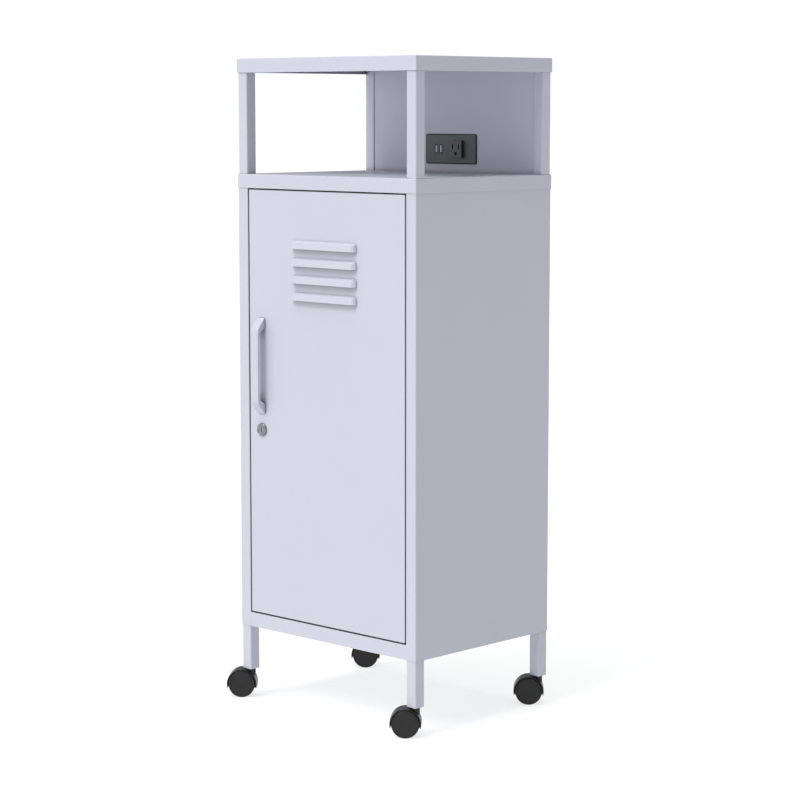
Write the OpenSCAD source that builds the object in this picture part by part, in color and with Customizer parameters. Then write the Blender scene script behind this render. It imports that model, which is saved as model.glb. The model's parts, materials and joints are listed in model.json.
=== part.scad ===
// Small locker cabinet on casters: a one-door locker body, an open niche with a power unit, a top tray.
// Millimetres. Origin on the floor under the middle of the cabinet, front towards -Y, +Z up.

/* [Cabinet] */
// Overall width of the trays
cabinet_w = 380; // [360:1:420]
// Overall depth of the trays
cabinet_d = 300; // [280:1:340]
// Height of the locker body, from its lower edge to the middle tray
locker_h = 686; // [660:1:740]
// Clear height of the open niche, from its floor to the top tray's edge
niche_h = 154; // [130:1:200]
// Height of the folded edges of the middle and top trays
tray_h = 21.5; // [20:0.5:26]
// Height of the rail under the door
rail_h = 22.5; // [20:0.5:26]
// Length of bare leg between the casters and the body
leg_h = 70.5; // [50:0.5:100]
// Thickness of all folded sheet
sheet = 0.8; // [0.6:0.1:0.8]
// How far the body's faces stand back from the trays' faces
body_inset = 0.9; // [0.9:0.1:1.5]

/* [Tubes] */
// Outer size of the square tubes
tube_w = 19; // [16:0.5:20]
// Wall of the square tubes
tube_wall = 1.2; // [1:0.1:1.5]

/* [Door] */
// Width of the front stile on the lock side
lock_stile_w = 22.2; // [21:0.1:26]
// Width of the front stile on the hinge side
hinge_stile_w = 21; // [20.5:0.1:26]
// Gap around the door on the lock side
lock_gap = 2.5; // [2:0.1:4]
// Gap beside the door on the hinge side
hinge_gap = 2.2; // [2:0.1:3]
// Gap under and over the door
end_gap = 2; // [2:0.1:3]
// Depth of the door's folded edges
door_depth = 16; // [12:0.5:20]
// Distance of the hinge pins from the door's edge
pin_inset_x = 10; // [8:0.5:12]
// Distance of the hinge pins behind the door's face
pin_inset_y = 6; // [6:0.5:8]
// Radius of the hinge pins
pin_r = 2.5; // [2:0.1:3]

/* [Louvers] */
// Number of louvers
louver_count = 4; // [1:1:5]
// Length of each louver
louver_len = 138; // [80:1:200]
// Distance between one louver and the next
louver_pitch = 26; // [20:1:30]
// How far a louver stands out from the door
louver_out = 8; // [6:0.5:10]
// Height of a louver's hood
louver_hood_h = 13; // [10:0.5:16]
// Height of the top edge of the uppermost louver above the floor
louver_top = 725.5; // [600:0.5:750]

/* [Handle] */
// Distance of the handle and the lock from the cabinet's middle
handle_x = 138; // [120:1:140]
// Height of the handle's middle above the floor
handle_z = 529; // [500:1:600]
// Overall length of the handle
handle_len = 153.7; // [140:0.1:180]
// Distance between the handle's two screws
handle_holes = 128; // [128:1:128]
// Width of the handle's bar
handle_w = 16; // [10:0.5:18]
// How far the handle stands out from the door
handle_out = 16; // [15:0.5:22]
// Thickness of the handle's bar
handle_t = 3; // [2:0.5:3.5]

/* [Lock] */
// Height of the lock above the floor
lock_z = 429.8; // [415:0.1:435]
// Radius of the lock's head
lock_head_r = 10; // [9.5:0.1:11]
// Radius of the lock's barrel
lock_barrel_r = 8; // [7.5:0.1:8.5]
// Radius of the turning plug
lock_plug_r = 6; // [5.5:0.1:6]
// Reach of the cam from the lock's axis
cam_reach = 38; // [36:1:40]

/* [Power unit] */
// Width of the faceplate
plate_w = 106.8; // [100:0.1:120]
// Height of the faceplate
plate_h = 46.6; // [46:0.1:60]
// Height of the faceplate's middle above the niche floor
plate_rise = 36.6; // [34:0.1:60]
// Distance of the outlet from the faceplate's middle
outlet_x = 15.6; // [14:0.1:20]
// Distance of the charging ports from the faceplate's middle
ports_x = -26; // [-30:0.1:-25]
// How far the outlet stands out from the faceplate
outlet_out = 5.8; // [4:0.1:8]
// Radius of the cord entry in the housing
cord_r = 3.75; // [3:0.05:4]

/* [Inside] */
// Heights of the two shelves' top faces above the locker floor
shelf_heights = [222, 444]; // [100:1:600]
// Height of a shelf's folded edges
shelf_edge = 18; // [12:1:25]

/* [Casters] */
// Height of a caster from the floor to the leg's end
caster_h = 45; // [45:0.5:52]
// Radius of the caster wheels
wheel_r = 20.8; // [20:0.1:20.8]
// Distance of the wheels' axle behind the swivel axis
trail = 14.3; // [14:0.1:16]
// Heading of the trailing wheels, counted from +X towards +Y
caster_turn = 221; // [0:1:359]

/* [Hidden] */
$fn = 48;
paint = "#e3e6ee";
steel = "#b9bcc2";
black = "#37373a";
brass = "#c9a659";
nylon = "#3c3c3f";
slack = 0.06;                        // radial clearance of every turning fit
ease = 0.05;                         // radial clearance of the holes for fixed round pieces
cut = 1;                             // how far a cutting shape runs past a face

// Levels above the floor
z_leg = caster_h;
z_body = z_leg + leg_h;
z_floor = z_body + rail_h;           // locker floor
z_tray = z_body + locker_h;          // lower edge of the middle tray
z_niche = z_tray + tray_h;           // niche floor
z_under = z_niche - sheet;
z_cap = z_niche + niche_h;           // lower edge of the top tray
z_top = z_cap + tray_h;

// Faces of the body: outer faces, then inner faces, as distances from the middle
body_x = cabinet_w / 2 - body_inset;
body_y = cabinet_d / 2 - body_inset;
wall_x = body_x - sheet;
wall_y = body_y - sheet;
stop_d = 14;                         // depth of the stiles' folded door stops
rear_flange = 15;

// Tubes: centre of each tube, and the face that looks into the cabinet
tube_x = wall_x - tube_w / 2;
tube_y = wall_y - tube_w / 2;
tube_in_x = wall_x - tube_w;
tube_in_y = wall_y - tube_w;
corners = [[-1, -1], [1, -1], [1, 1], [-1, 1]];
plug_w = tube_w - 2 * tube_wall;
plug_h = 16;
bolt_r = 3;
bolt_head_r = 5.5;
bolt_head_h = 4;
bolt_len = 12;

// Door
front = -body_y;                     // front face of the stiles and of the door
lock_edge = -(cabinet_w / 2 - lock_stile_w);
hinge_edge = cabinet_w / 2 - hinge_stile_w;
door_x0 = lock_edge + lock_gap;
door_x1 = hinge_edge - hinge_gap;
door_z0 = z_floor + end_gap;
door_z1 = z_tray - end_gap;
door_back = front + door_depth;
door_lip = 10;
hinge_x = door_x1 - pin_inset_x;
hinge_y = front + pin_inset_y;
pin_grip = 6;                        // length of pin inside each bush
pin_head_r = 4.5;
pin_head_h = 2;
bush_r = 4;
bush_flange_r = 5;
bush_gap = 0.4;                      // between a bush's flange and the frame
head_z = z_tray + 0.5;               // underside of the head rail
head_d = 31;                         // depth of the head rail
head_drop = 12;

// Lock and handle, on the door
lock_x = -handle_x;
lock_proud = 3;
barrel_len = 18;
cam_t = 2;
cam_w = 14;
cam_gap = 0.3;
drive_w = 7;
barrel_end = front + barrel_len;
cam_end = barrel_end + cam_gap + cam_t;
handle_rise = 20;                    // length of the handle's sloping ends
handle_foot = 18;
handle_bore = 7.5;                   // depth of the feet's threaded holes
screw_r = 1.65;

// Niche back and power unit
back_y = tube_in_y + 1.7;            // front face of the niche's back panel
panel_back = back_y + sheet;
plate_t = 2.2;
plate_front = back_y - plate_t;
plate_z = z_niche + plate_rise;
housing_w = 100;
housing_h = 41;
housing_wall = 2;
cutout_w = 96;
cutout_h = 37;
outlet_w = 24;
outlet_h = 26.5;
outlet_back = wall_y - housing_wall - 1;
outlet_front = plate_front - outlet_out;
slot_pitch = 12.7;
slot_w = 2.2;
slot_h = 8;
slot_z = plate_z + 3.8;
ground_z = slot_z - 11;
ground_r = 2.6;
slot_depth = 19;
contact_t = 0.5;
pocket_w = slot_w + 2 * contact_t;
mask = 3;                            // thickness of the outlet's face in front of the contacts
ports_w = 20;
ports_h = 18;
ports_proud = 0.5;
port_pitch = 9.8;
port_w = 5;
port_h = 13;
port_depth = 11;
tongue_w = 2;
tongue_h = 11;
board_y = plate_front + 13;
board_t = 1.6;
boss_x = 43;
boss_r = 3;
boss_end = back_y + 9;
cord_x = -6;

// Shelves
shelf_front = -118;
shelf_x = wall_x - 1.8;
shelf_back = wall_y - sheet - 1;
clip_t = 1.3;
clip_w = 14;
clip_h = 16;
clip_tongue = 9;
clip_y = [-90, 120];

// Casters, in their own frame: swivel axis on Z, wheels trailing towards +X
hood_r = wheel_r + 2.8;
hood_w = 27.6;
well_r = wheel_r + 0.8;
web_t = 9;
hood_low = 13.7;                      // height of the hood's lower edge
swivel_boss_r = 7;
swivel_boss_h = 11;
flange_r = 6;
flange_t = 0.8;
boss_top = caster_h - flange_t - 0.4;
swivel_r = 3;
swivel_foot = 26;                    // lower end of the swivel pin
stem_r = 4;
stem_len = 14;
axle_r = 2.5;
axle_half = 12;
wheel_in = 5;                        // inner face of each wheel, from the caster's middle
wheel_w = 9.2;
wheel_edge = 1.5;

// ---------- shared shapes ----------

// A block between two opposite corners
module block(a, b) {
    translate(a) cube(b - a);
}

// A round bar along Z
module bar_z(x, y, z0, z1, r) {
    translate([x, y, z0]) cylinder(h = z1 - z0, r = r);
}

// A round bar along Y
module bar_y(x, z, y0, y1, r) {
    translate([x, y0, z]) rotate([-90, 0, 0]) cylinder(h = y1 - y0, r = r);
}

// A sheet with its four edges folded down: outline from a to b, top face at z, edges h high
module folded_sheet(a, b, z, h) {
    difference() {
        block([a.x, a.y, z - h], [b.x, b.y, z]);
        block([a.x + sheet, a.y + sheet, z - h - cut], [b.x - sheet, b.y - sheet, z - sheet]);
    }
}

// The axis of a tube at each corner
module at_corners() {
    for (c = corners) translate([c.x * tube_x, c.y * tube_y, 0]) children();
}

module square_tube(c, z0, z1) {
    translate([c.x * tube_x, c.y * tube_y, z0]) difference() {
        translate([-tube_w / 2, -tube_w / 2, 0]) cube([tube_w, tube_w, z1 - z0]);
        translate([-plug_w / 2, -plug_w / 2, -cut]) cube([plug_w, plug_w, z1 - z0 + 2 * cut]);
    }
}

// ---------- frame ----------

module top_tray() color(paint) {
    folded_sheet([-cabinet_w / 2, -cabinet_d / 2], [cabinet_w / 2, cabinet_d / 2], z_top, tray_h);
    lip = 8;
    for (s = [-1, 1]) {
        // folded-in lips between the posts, front and rear, then left and right
        scale([1, s, 1])
            block([sheet - tube_in_x, cabinet_d / 2 - lip, z_cap],
                  [tube_in_x - sheet, cabinet_d / 2 - sheet / 2, z_cap + sheet]);
        scale([s, 1, 1])
            block([cabinet_w / 2 - lip, -tube_in_y, z_cap],
                  [cabinet_w / 2 - sheet / 2, tube_in_y, z_cap + sheet]);
    }
}

module post(c) color(paint) square_tube(c, z_niche, z_top - sheet);

module leg(c) color(paint) square_tube(c, z_leg, z_floor - sheet);

module niche_back_panel() color(paint) {
    z_end = z_top - sheet;
    flange = 12;
    difference() {
        union() {
            block([-tube_in_x, back_y, z_niche], [tube_in_x, panel_back, z_end]);
            for (s = [-1, 1]) scale([s, 1, 1])
                block([tube_in_x - sheet, back_y, z_niche], [tube_in_x, wall_y, z_end]);
            block([-tube_in_x, back_y, z_niche], [tube_in_x, back_y + flange, z_niche + sheet]);
            block([-tube_in_x, back_y, z_end - sheet], [tube_in_x, back_y + flange, z_end]);
        }
        block([-cutout_w / 2, back_y - cut, plate_z - cutout_h / 2],
              [cutout_w / 2, panel_back + cut, plate_z + cutout_h / 2]);
    }
}

module middle_tray() color(paint) difference() {
    folded_sheet([-cabinet_w / 2, -cabinet_d / 2], [cabinet_w / 2, cabinet_d / 2], z_niche, tray_h);
    at_corners() bar_z(0, 0, z_under - cut, z_niche + cut, bolt_r + ease);
}

// Side panel for the right-hand side: outer wall, front stile with its door stop, rear flange
module side_panel(stile_x) color(paint) {
    block([wall_x, -body_y, z_body], [body_x, body_y, z_under]);
    block([stile_x, -body_y, z_body], [body_x, -wall_y, z_under]);
    block([stile_x, -body_y, z_floor], [stile_x + sheet, -body_y + stop_d, z_under]);
    block([body_x - rear_flange, wall_y, z_body], [body_x, body_y, z_under]);
}

module left_side_panel() mirror([1, 0, 0]) side_panel(-lock_edge);

module right_side_panel() side_panel(hinge_edge);

module locker_back_panel() color(paint)
    block([-wall_x, wall_y - sheet, z_floor], [wall_x, wall_y, z_under]);

// Channel over the door, between the stiles; it carries the upper hinge pin
module head_rail() color(paint) difference() {
    union() {
        block([lock_edge, front, head_z], [hinge_edge, front + head_d, head_z + sheet]);
        block([lock_edge, front, head_z], [hinge_edge, -wall_y, z_under]);
        block([lock_edge, front + head_d - sheet, head_z - head_drop],
              [hinge_edge, front + head_d, head_z + sheet]);
    }
    bar_z(hinge_x, hinge_y, head_z - cut, head_z + sheet + cut, pin_r);
}

// Locker floor with the rail under the door, folded edges between the legs
module bottom_tray() color(paint) difference() {
    union() {
        block([-wall_x, -wall_y, z_floor - sheet], [wall_x, wall_y, z_floor]);
        block([lock_edge, front, z_floor - sheet], [hinge_edge, 0, z_floor]);
        block([lock_edge, front, z_body], [hinge_edge, -wall_y, z_floor]);
        block([-tube_in_x, wall_y - sheet, z_body], [tube_in_x, wall_y, z_floor]);
        for (s = [-1, 1]) scale([s, 1, 1])
            block([wall_x - sheet, -tube_in_y, z_body], [wall_x, tube_in_y, z_floor]);
    }
    at_corners() bar_z(0, 0, z_floor - sheet - cut, z_floor + cut, bolt_r + ease);
    bar_z(hinge_x, hinge_y, z_floor - sheet - cut, z_floor + cut, pin_r);
}

// One threaded plug inside a tube, its lower face at z
module tube_plug(z, bore_r) {
    difference() {
        translate([-plug_w / 2, -plug_w / 2, z]) cube([plug_w, plug_w, plug_h]);
        bar_z(0, 0, z - cut, z + plug_h + cut, bore_r);
    }
}

// Plugs at the posts' feet, at the legs' tops and at the legs' feet
module tube_plugs() color(nylon) at_corners() {
    tube_plug(z_niche, bolt_r);
    tube_plug(z_floor - sheet - plug_h, bolt_r);
    tube_plug(z_leg, stem_r);
}

// Bolts up into the posts and down into the legs
module frame_bolts() color(steel) at_corners() {
    bar_z(0, 0, z_under - bolt_head_h, z_under, bolt_head_r);
    bar_z(0, 0, z_under - bolt_head_h / 2, z_niche + bolt_len, bolt_r);
    bar_z(0, 0, z_floor, z_floor + bolt_head_h, bolt_head_r);
    bar_z(0, 0, z_floor - bolt_len, z_floor + bolt_head_h / 2, bolt_r);
}

// ---------- inside the locker ----------

module shelf(height) color(paint)
    folded_sheet([-shelf_x, shelf_front], [shelf_x, shelf_back], z_floor + height, shelf_edge);

// Clips on the side walls, with a tongue under each shelf's edge
module shelf_clips() color(steel)
    for (height = shelf_heights, y = clip_y, s = [-1, 1]) {
        z = z_floor + height - shelf_edge;
        scale([s, 1, 1]) {
            block([wall_x - clip_t, y, z - clip_h], [wall_x, y + clip_w, z]);
            block([wall_x - clip_tongue, y, z - clip_t], [wall_x, y + clip_w, z]);
        }
    }

module magnetic_catch() color(nylon) {
    catch_w = 15;
    catch_h = 20;
    catch_gap = 0.4;
    block([lock_edge + 3, door_back + catch_gap, head_z - catch_h],
          [lock_edge + 3 + catch_w, front + head_d - sheet, head_z]);
}

// ---------- door ----------

// Pins fixed in the head rail and in the locker floor
module hinge_pins() color(steel) {
    bar_z(hinge_x, hinge_y, door_z1 - pin_grip, head_z + sheet + pin_head_h, pin_r);
    bar_z(hinge_x, hinge_y, head_z + sheet, head_z + sheet + pin_head_h, pin_head_r);
    bar_z(hinge_x, hinge_y, z_floor - sheet - pin_head_h, door_z0 + pin_grip, pin_r);
    bar_z(hinge_x, hinge_y, z_floor - sheet - pin_head_h, z_floor - sheet, pin_head_r);
}

module hinge_bushes() color(nylon) difference() {
    union() {
        bar_z(hinge_x, hinge_y, door_z1 - pin_grip, door_z1, bush_r);
        bar_z(hinge_x, hinge_y, door_z1, head_z - bush_gap, bush_flange_r);
        bar_z(hinge_x, hinge_y, door_z0, door_z0 + pin_grip, bush_r);
        bar_z(hinge_x, hinge_y, z_floor + bush_gap, door_z0, bush_flange_r);
    }
    bar_z(hinge_x, hinge_y, z_floor - cut, head_z + cut, pin_r + slack);
}

// Section of a louver, as distance out from the door and height below its top edge
function louver_section(t) = [
    [0, -t], [louver_out * 0.6 - t / 2, -1.2 - t], [louver_out * 0.86 - t, -3.2 - t / 2],
    [louver_out - t, -louver_hood_h - (t > 0 ? cut : 0)], [0, -louver_hood_h - (t > 0 ? cut : 0)]
];

// A louver's outer shape for t = 0, or its hollow for a wall t
module louver_form(t) {
    straight = louver_len / 2 - louver_out;
    rotate([90, 0, -90]) linear_extrude(2 * straight, center = true) polygon(louver_section(t));
    translate([straight, 0, 0]) rotate([0, 0, -90]) rotate_extrude(angle = 90) polygon(louver_section(t));
    translate([-straight, 0, 0]) rotate([0, 0, 180]) rotate_extrude(angle = 90) polygon(louver_section(t));
}

module at_louvers() {
    middle = (door_x0 + door_x1) / 2;
    for (i = [0 : louver_count - 1]) translate([middle, front, louver_top - i * louver_pitch]) children();
}

module door_panel() color(paint) difference() {
    union() {
        difference() {
            block([door_x0, front, door_z0], [door_x1, door_back, door_z1]);
            block([door_x0 + sheet, front + sheet, door_z0 + sheet],
                  [door_x1 - sheet, door_back - sheet, door_z1 - sheet]);
            block([door_x0 + door_lip, front + sheet, door_z0 + sheet],
                  [door_x1 - door_lip, door_back + cut, door_z1 - sheet]);
        }
        at_louvers() louver_form(0);
    }
    at_louvers() {
        louver_form(sheet);
        block([-louver_len / 2 + louver_out, -cut, -louver_hood_h],
              [louver_len / 2 - louver_out, sheet + cut, -3 * sheet]);
    }
    bar_z(hinge_x, hinge_y, door_z0 - cut, door_z0 + sheet + cut, bush_r + ease);
    bar_z(hinge_x, hinge_y, door_z1 - sheet - cut, door_z1 + cut, bush_r + ease);
    bar_y(lock_x, lock_z, front - cut, front + sheet + cut, lock_barrel_r + ease);
    for (s = [-1, 1])
        bar_y(-handle_x, handle_z + s * handle_holes / 2, front - cut, front + sheet + cut, screw_r);
}

// Flat bow handle with sloping ends and a threaded foot at each end
module handle() color(paint) difference() {
    half = handle_len / 2;
    slope = half - handle_rise;
    foot = half - handle_foot;
    translate([-handle_x, front, handle_z]) rotate([90, 0, -90])
        linear_extrude(handle_w, center = true) polygon([
            [0, half], [handle_out, slope], [handle_out, -slope], [0, -half],
            [0, -foot], [handle_out - handle_t, 8 - foot], [handle_out - handle_t, foot - 8], [0, foot]
        ]);
    for (s = [-1, 1])
        bar_y(-handle_x, handle_z + s * handle_holes / 2, front - handle_bore, front + cut, screw_r);
}

module handle_screws() color(steel) for (s = [-1, 1]) {
    z = handle_z + s * handle_holes / 2;
    bar_y(-handle_x, z, front - handle_bore + 0.5, front + sheet + 1, screw_r);
    bar_y(-handle_x, z, front + sheet, front + sheet + 2, 2 * screw_r);
}

// ---------- lock ----------

module lock_housing() color(steel) difference() {
    union() {
        bar_y(lock_x, lock_z, front - lock_proud, front, lock_head_r);
        bar_y(lock_x, lock_z, front - lock_proud / 2, barrel_end, lock_barrel_r);
    }
    bar_y(lock_x, lock_z, front - lock_proud - cut, barrel_end + cut, lock_plug_r + slack);
}

module lock_nut() color(steel) difference() {
    translate([lock_x, front + sheet, lock_z]) rotate([-90, 0, 0]) cylinder(h = 3, r = 11.5, $fn = 6);
    bar_y(lock_x, lock_z, front, front + sheet + 3 + cut, lock_barrel_r);
}

// Turning plug with its keyway in front and a square drive behind
module lock_plug() color(steel) difference() {
    face = front - lock_proud + 0.5;
    key_w = 1.4;
    key_h = 7.5;
    union() {
        bar_y(lock_x, lock_z, face, barrel_end, lock_plug_r);
        block([lock_x - drive_w / 2, barrel_end - cut, lock_z - drive_w / 2],
              [lock_x + drive_w / 2, cam_end, lock_z + drive_w / 2]);
    }
    block([lock_x - key_w / 2, face - cut, lock_z - key_h / 2],
          [lock_x + key_w / 2, face + 8, lock_z + key_h / 2]);
    bar_y(lock_x, lock_z, cam_end - 8, cam_end + cut, screw_r);
}

// Cam at rest: hanging down, clear of the door stop
module lock_cam() color(steel) difference() {
    union() {
        bar_y(lock_x, lock_z, barrel_end + cam_gap, cam_end, cam_w / 2);
        block([lock_x - cam_w / 2, barrel_end + cam_gap, lock_z - cam_reach],
              [lock_x + cam_w / 2, cam_end, lock_z]);
    }
    block([lock_x - drive_w / 2, barrel_end, lock_z - drive_w / 2],
          [lock_x + drive_w / 2, cam_end + cut, lock_z + drive_w / 2]);
}

module lock_cam_screw() color(steel) {
    bar_y(lock_x, lock_z, cam_end, cam_end + 2, 5);
    bar_y(lock_x, lock_z, cam_end - 7, cam_end + 1, screw_r);
}

// ---------- power unit ----------

module power_faceplate() color("#4b5252") difference() {
    union() {
        block([-plate_w / 2, plate_front, plate_z - plate_h / 2],
              [plate_w / 2, back_y, plate_z + plate_h / 2]);
        for (s = [-1, 1]) bar_y(s * boss_x, plate_z, plate_front + cut, boss_end, boss_r);
    }
    for (s = [-1, 1]) bar_y(s * boss_x, plate_z, back_y, boss_end + cut, screw_r);
    block([outlet_x - outlet_w / 2, plate_front - cut, plate_z - outlet_h / 2],
          [outlet_x + outlet_w / 2, back_y + cut, plate_z + outlet_h / 2]);
    block([ports_x - ports_w / 2, plate_front - cut, plate_z - ports_h / 2],
          [ports_x + ports_w / 2, back_y + cut, plate_z + ports_h / 2]);
}

// Box behind the back panel, open towards the faceplate, with the cord entry in its rear wall
module power_housing() color(black) difference() {
    block([-housing_w / 2, panel_back, plate_z - housing_h / 2],
          [housing_w / 2, wall_y, plate_z + housing_h / 2]);
    block([-housing_w / 2 + housing_wall, panel_back - cut, plate_z - housing_h / 2 + housing_wall],
          [housing_w / 2 - housing_wall, wall_y - housing_wall, plate_z + housing_h / 2 - housing_wall]);
    bar_y(cord_x, plate_z, wall_y - housing_wall - cut, wall_y + cut, cord_r);
    for (s = [-1, 1]) bar_y(s * boss_x, plate_z, wall_y - housing_wall - cut, wall_y + cut, screw_r);
}

// Grounded outlet: two flat slots and a round one, widened behind its face for the contacts
module outlet_block() color("#3d4343") difference() {
    block([outlet_x - outlet_w / 2, outlet_front, plate_z - outlet_h / 2],
          [outlet_x + outlet_w / 2, outlet_back, plate_z + outlet_h / 2]);
    for (s = [-1, 1]) translate([outlet_x + s * slot_pitch / 2, outlet_front, slot_z]) {
        block([-slot_w / 2, -cut, -slot_h / 2], [slot_w / 2, slot_depth, slot_h / 2]);
        block([-pocket_w / 2, mask, -slot_h / 2], [pocket_w / 2, slot_depth, slot_h / 2]);
    }
    bar_y(outlet_x, ground_z, outlet_front - cut, outlet_front + slot_depth, ground_r);
    bar_y(outlet_x, ground_z, outlet_front + mask, outlet_front + slot_depth, ground_r + contact_t);
}

module outlet_contacts() color(brass) {
    for (s = [-1, 1], side = [-1, 1])
        translate([outlet_x + s * slot_pitch / 2 + side * (slot_w + contact_t) / 2, outlet_front, slot_z])
            block([-contact_t / 2, mask, -slot_h / 2], [contact_t / 2, slot_depth, slot_h / 2]);
    difference() {
        bar_y(outlet_x, ground_z, outlet_front + mask, outlet_front + slot_depth, ground_r + contact_t);
        bar_y(outlet_x, ground_z, outlet_front, outlet_front + slot_depth + cut, ground_r);
    }
}

module usb_module() color("#2c3030") difference() {
    block([ports_x - ports_w / 2, plate_front - ports_proud, plate_z - ports_h / 2],
          [ports_x + ports_w / 2, board_y, plate_z + ports_h / 2]);
    for (s = [-1, 1]) translate([ports_x + s * port_pitch / 2, plate_front, plate_z])
        block([-port_w / 2, -cut, -port_h / 2], [port_w / 2, port_depth, port_h / 2]);
}

module usb_tongues() color("white")
    for (s = [-1, 1]) translate([ports_x + s * port_pitch / 2 - 0.8, plate_front, plate_z])
        block([-tongue_w / 2, 0.6, -tongue_h / 2], [tongue_w / 2, port_depth, tongue_h / 2]);

module usb_board() color("#2f6b46")
    block([ports_x - 12, board_y, plate_z - 13], [ports_x + 12, board_y + board_t, plate_z + 13]);

module power_screws() color(steel) for (s = [-1, 1]) {
    bar_y(s * boss_x, plate_z, wall_y, wall_y + 1.5, 3);
    bar_y(s * boss_x, plate_z, boss_end - 6, wall_y + 1, screw_r);
}

// ---------- casters ----------

// Threaded stems in the legs' feet, each with a flange and a swivel pin
module caster_stems() color(steel) at_corners() {
    bar_z(0, 0, z_leg - flange_t / 2, z_leg + stem_len, stem_r);
    bar_z(0, 0, z_leg - flange_t, z_leg, flange_r);
    bar_z(0, 0, swivel_foot, z_leg - flange_t / 2, swivel_r);
}

// Places a caster piece under its corner, turned to its heading
module at_caster(c) {
    translate([c.x * tube_x, c.y * tube_y, 0]) rotate([0, 0, caster_turn]) children();
}

module caster_hood(c) color(black) at_caster(c) difference() {
    union() {
        bar_y_at(-hood_w / 2, hood_w / 2, hood_r);
        bar_z(0, 0, boss_top - swivel_boss_h, boss_top, swivel_boss_r);
    }
    // wheel wells on both sides of the middle web
    bar_y_at(web_t / 2, hood_w, well_r);
    bar_y_at(-hood_w, -web_t / 2, well_r);
    // open underside
    block([-2 * hood_r, -hood_w, -hood_r], [3 * hood_r, hood_w, hood_low]);
    bar_z(0, 0, swivel_foot - 0.5, boss_top + cut, swivel_r + slack);
    bar_y_at(-hood_w, hood_w, axle_r);
}

// A round bar on the wheels' axis, in the caster's own frame
module bar_y_at(y0, y1, r) {
    bar_y(trail, wheel_r, y0, y1, r);
}

module caster_axle(c) color(steel) at_caster(c) bar_y_at(-axle_half, axle_half, axle_r);

// Wheel with a closed outer face; side is 1 for the left wheel and -1 for the right one
module caster_wheel(c, side) color(black) at_caster(c) difference() {
    translate([trail, 0, wheel_r]) rotate([-90 * side, 0, 0]) rotate_extrude() polygon([
        [0, wheel_in], [wheel_r - 1, wheel_in], [wheel_r, wheel_in + 1],
        [wheel_r, wheel_in + wheel_w - wheel_edge], [wheel_r - wheel_edge, wheel_in + wheel_w],
        [0, wheel_in + wheel_w]
    ]);
    scale([1, side, 1]) bar_y_at(0, axle_half + 0.5, axle_r + slack);
}

// ---------- assembly ----------

top_tray();
post(corners[0]);  // front_left_post
post(corners[1]);  // front_right_post
post(corners[2]);  // rear_right_post
post(corners[3]);  // rear_left_post
niche_back_panel();
middle_tray();
left_side_panel();
right_side_panel();
locker_back_panel();
head_rail();
bottom_tray();
leg(corners[0]);  // front_left_leg
leg(corners[1]);  // front_right_leg
leg(corners[2]);  // rear_right_leg
leg(corners[3]);  // rear_left_leg
tube_plugs();
frame_bolts();
shelf(shelf_heights[1]);  // upper_shelf
shelf(shelf_heights[0]);  // lower_shelf
shelf_clips();
magnetic_catch();
hinge_pins();
door_panel();
hinge_bushes();
handle();
handle_screws();
lock_housing();
lock_nut();
lock_plug();
lock_cam();
lock_cam_screw();
power_faceplate();
power_housing();
outlet_block();
outlet_contacts();
usb_module();
usb_tongues();
usb_board();
power_screws();
caster_stems();
caster_hood(corners[0]);  // front_left_caster_hood
caster_hood(corners[1]);  // front_right_caster_hood
caster_hood(corners[2]);  // rear_right_caster_hood
caster_hood(corners[3]);  // rear_left_caster_hood
caster_axle(corners[0]);  // front_left_caster_axle
caster_axle(corners[1]);  // front_right_caster_axle
caster_axle(corners[2]);  // rear_right_caster_axle
caster_axle(corners[3]);  // rear_left_caster_axle
caster_wheel(corners[0], 1);  // front_left_caster_left_wheel
caster_wheel(corners[0], -1);  // front_left_caster_right_wheel
caster_wheel(corners[1], 1);  // front_right_caster_left_wheel
caster_wheel(corners[1], -1);  // front_right_caster_right_wheel
caster_wheel(corners[2], 1);  // rear_right_caster_left_wheel
caster_wheel(corners[2], -1);  // rear_right_caster_right_wheel
caster_wheel(corners[3], 1);  // rear_left_caster_left_wheel
caster_wheel(corners[3], -1);  // rear_left_caster_right_wheel
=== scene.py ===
"""Looks of a small locker cabinet on casters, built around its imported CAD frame.

Metres, front towards -Y, +Z up.
"""

import json
import math

import bmesh
import bpy
from mathutils import Matrix, Vector

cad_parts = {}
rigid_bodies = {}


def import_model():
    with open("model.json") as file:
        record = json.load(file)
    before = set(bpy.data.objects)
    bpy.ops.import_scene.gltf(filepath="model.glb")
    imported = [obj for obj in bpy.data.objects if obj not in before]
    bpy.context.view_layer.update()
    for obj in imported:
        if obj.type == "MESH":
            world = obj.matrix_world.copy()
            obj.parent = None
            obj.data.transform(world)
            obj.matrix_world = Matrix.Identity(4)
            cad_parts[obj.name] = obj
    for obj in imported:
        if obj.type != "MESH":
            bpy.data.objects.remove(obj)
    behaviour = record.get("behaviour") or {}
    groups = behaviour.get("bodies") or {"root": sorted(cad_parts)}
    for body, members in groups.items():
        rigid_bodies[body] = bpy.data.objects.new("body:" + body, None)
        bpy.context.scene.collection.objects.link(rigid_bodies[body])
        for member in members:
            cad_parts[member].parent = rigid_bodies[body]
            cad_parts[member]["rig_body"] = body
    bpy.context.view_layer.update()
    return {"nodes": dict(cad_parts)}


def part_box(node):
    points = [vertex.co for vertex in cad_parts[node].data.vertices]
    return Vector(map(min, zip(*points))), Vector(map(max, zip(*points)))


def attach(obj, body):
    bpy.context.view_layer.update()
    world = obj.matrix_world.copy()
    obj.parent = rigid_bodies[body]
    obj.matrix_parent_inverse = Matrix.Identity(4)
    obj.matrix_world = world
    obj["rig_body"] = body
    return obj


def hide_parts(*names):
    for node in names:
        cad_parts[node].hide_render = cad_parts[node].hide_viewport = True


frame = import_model()

MM = 0.001
CORNERS = ("front_left", "front_right", "rear_right", "rear_left")

# ---------- sizes ----------

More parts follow.
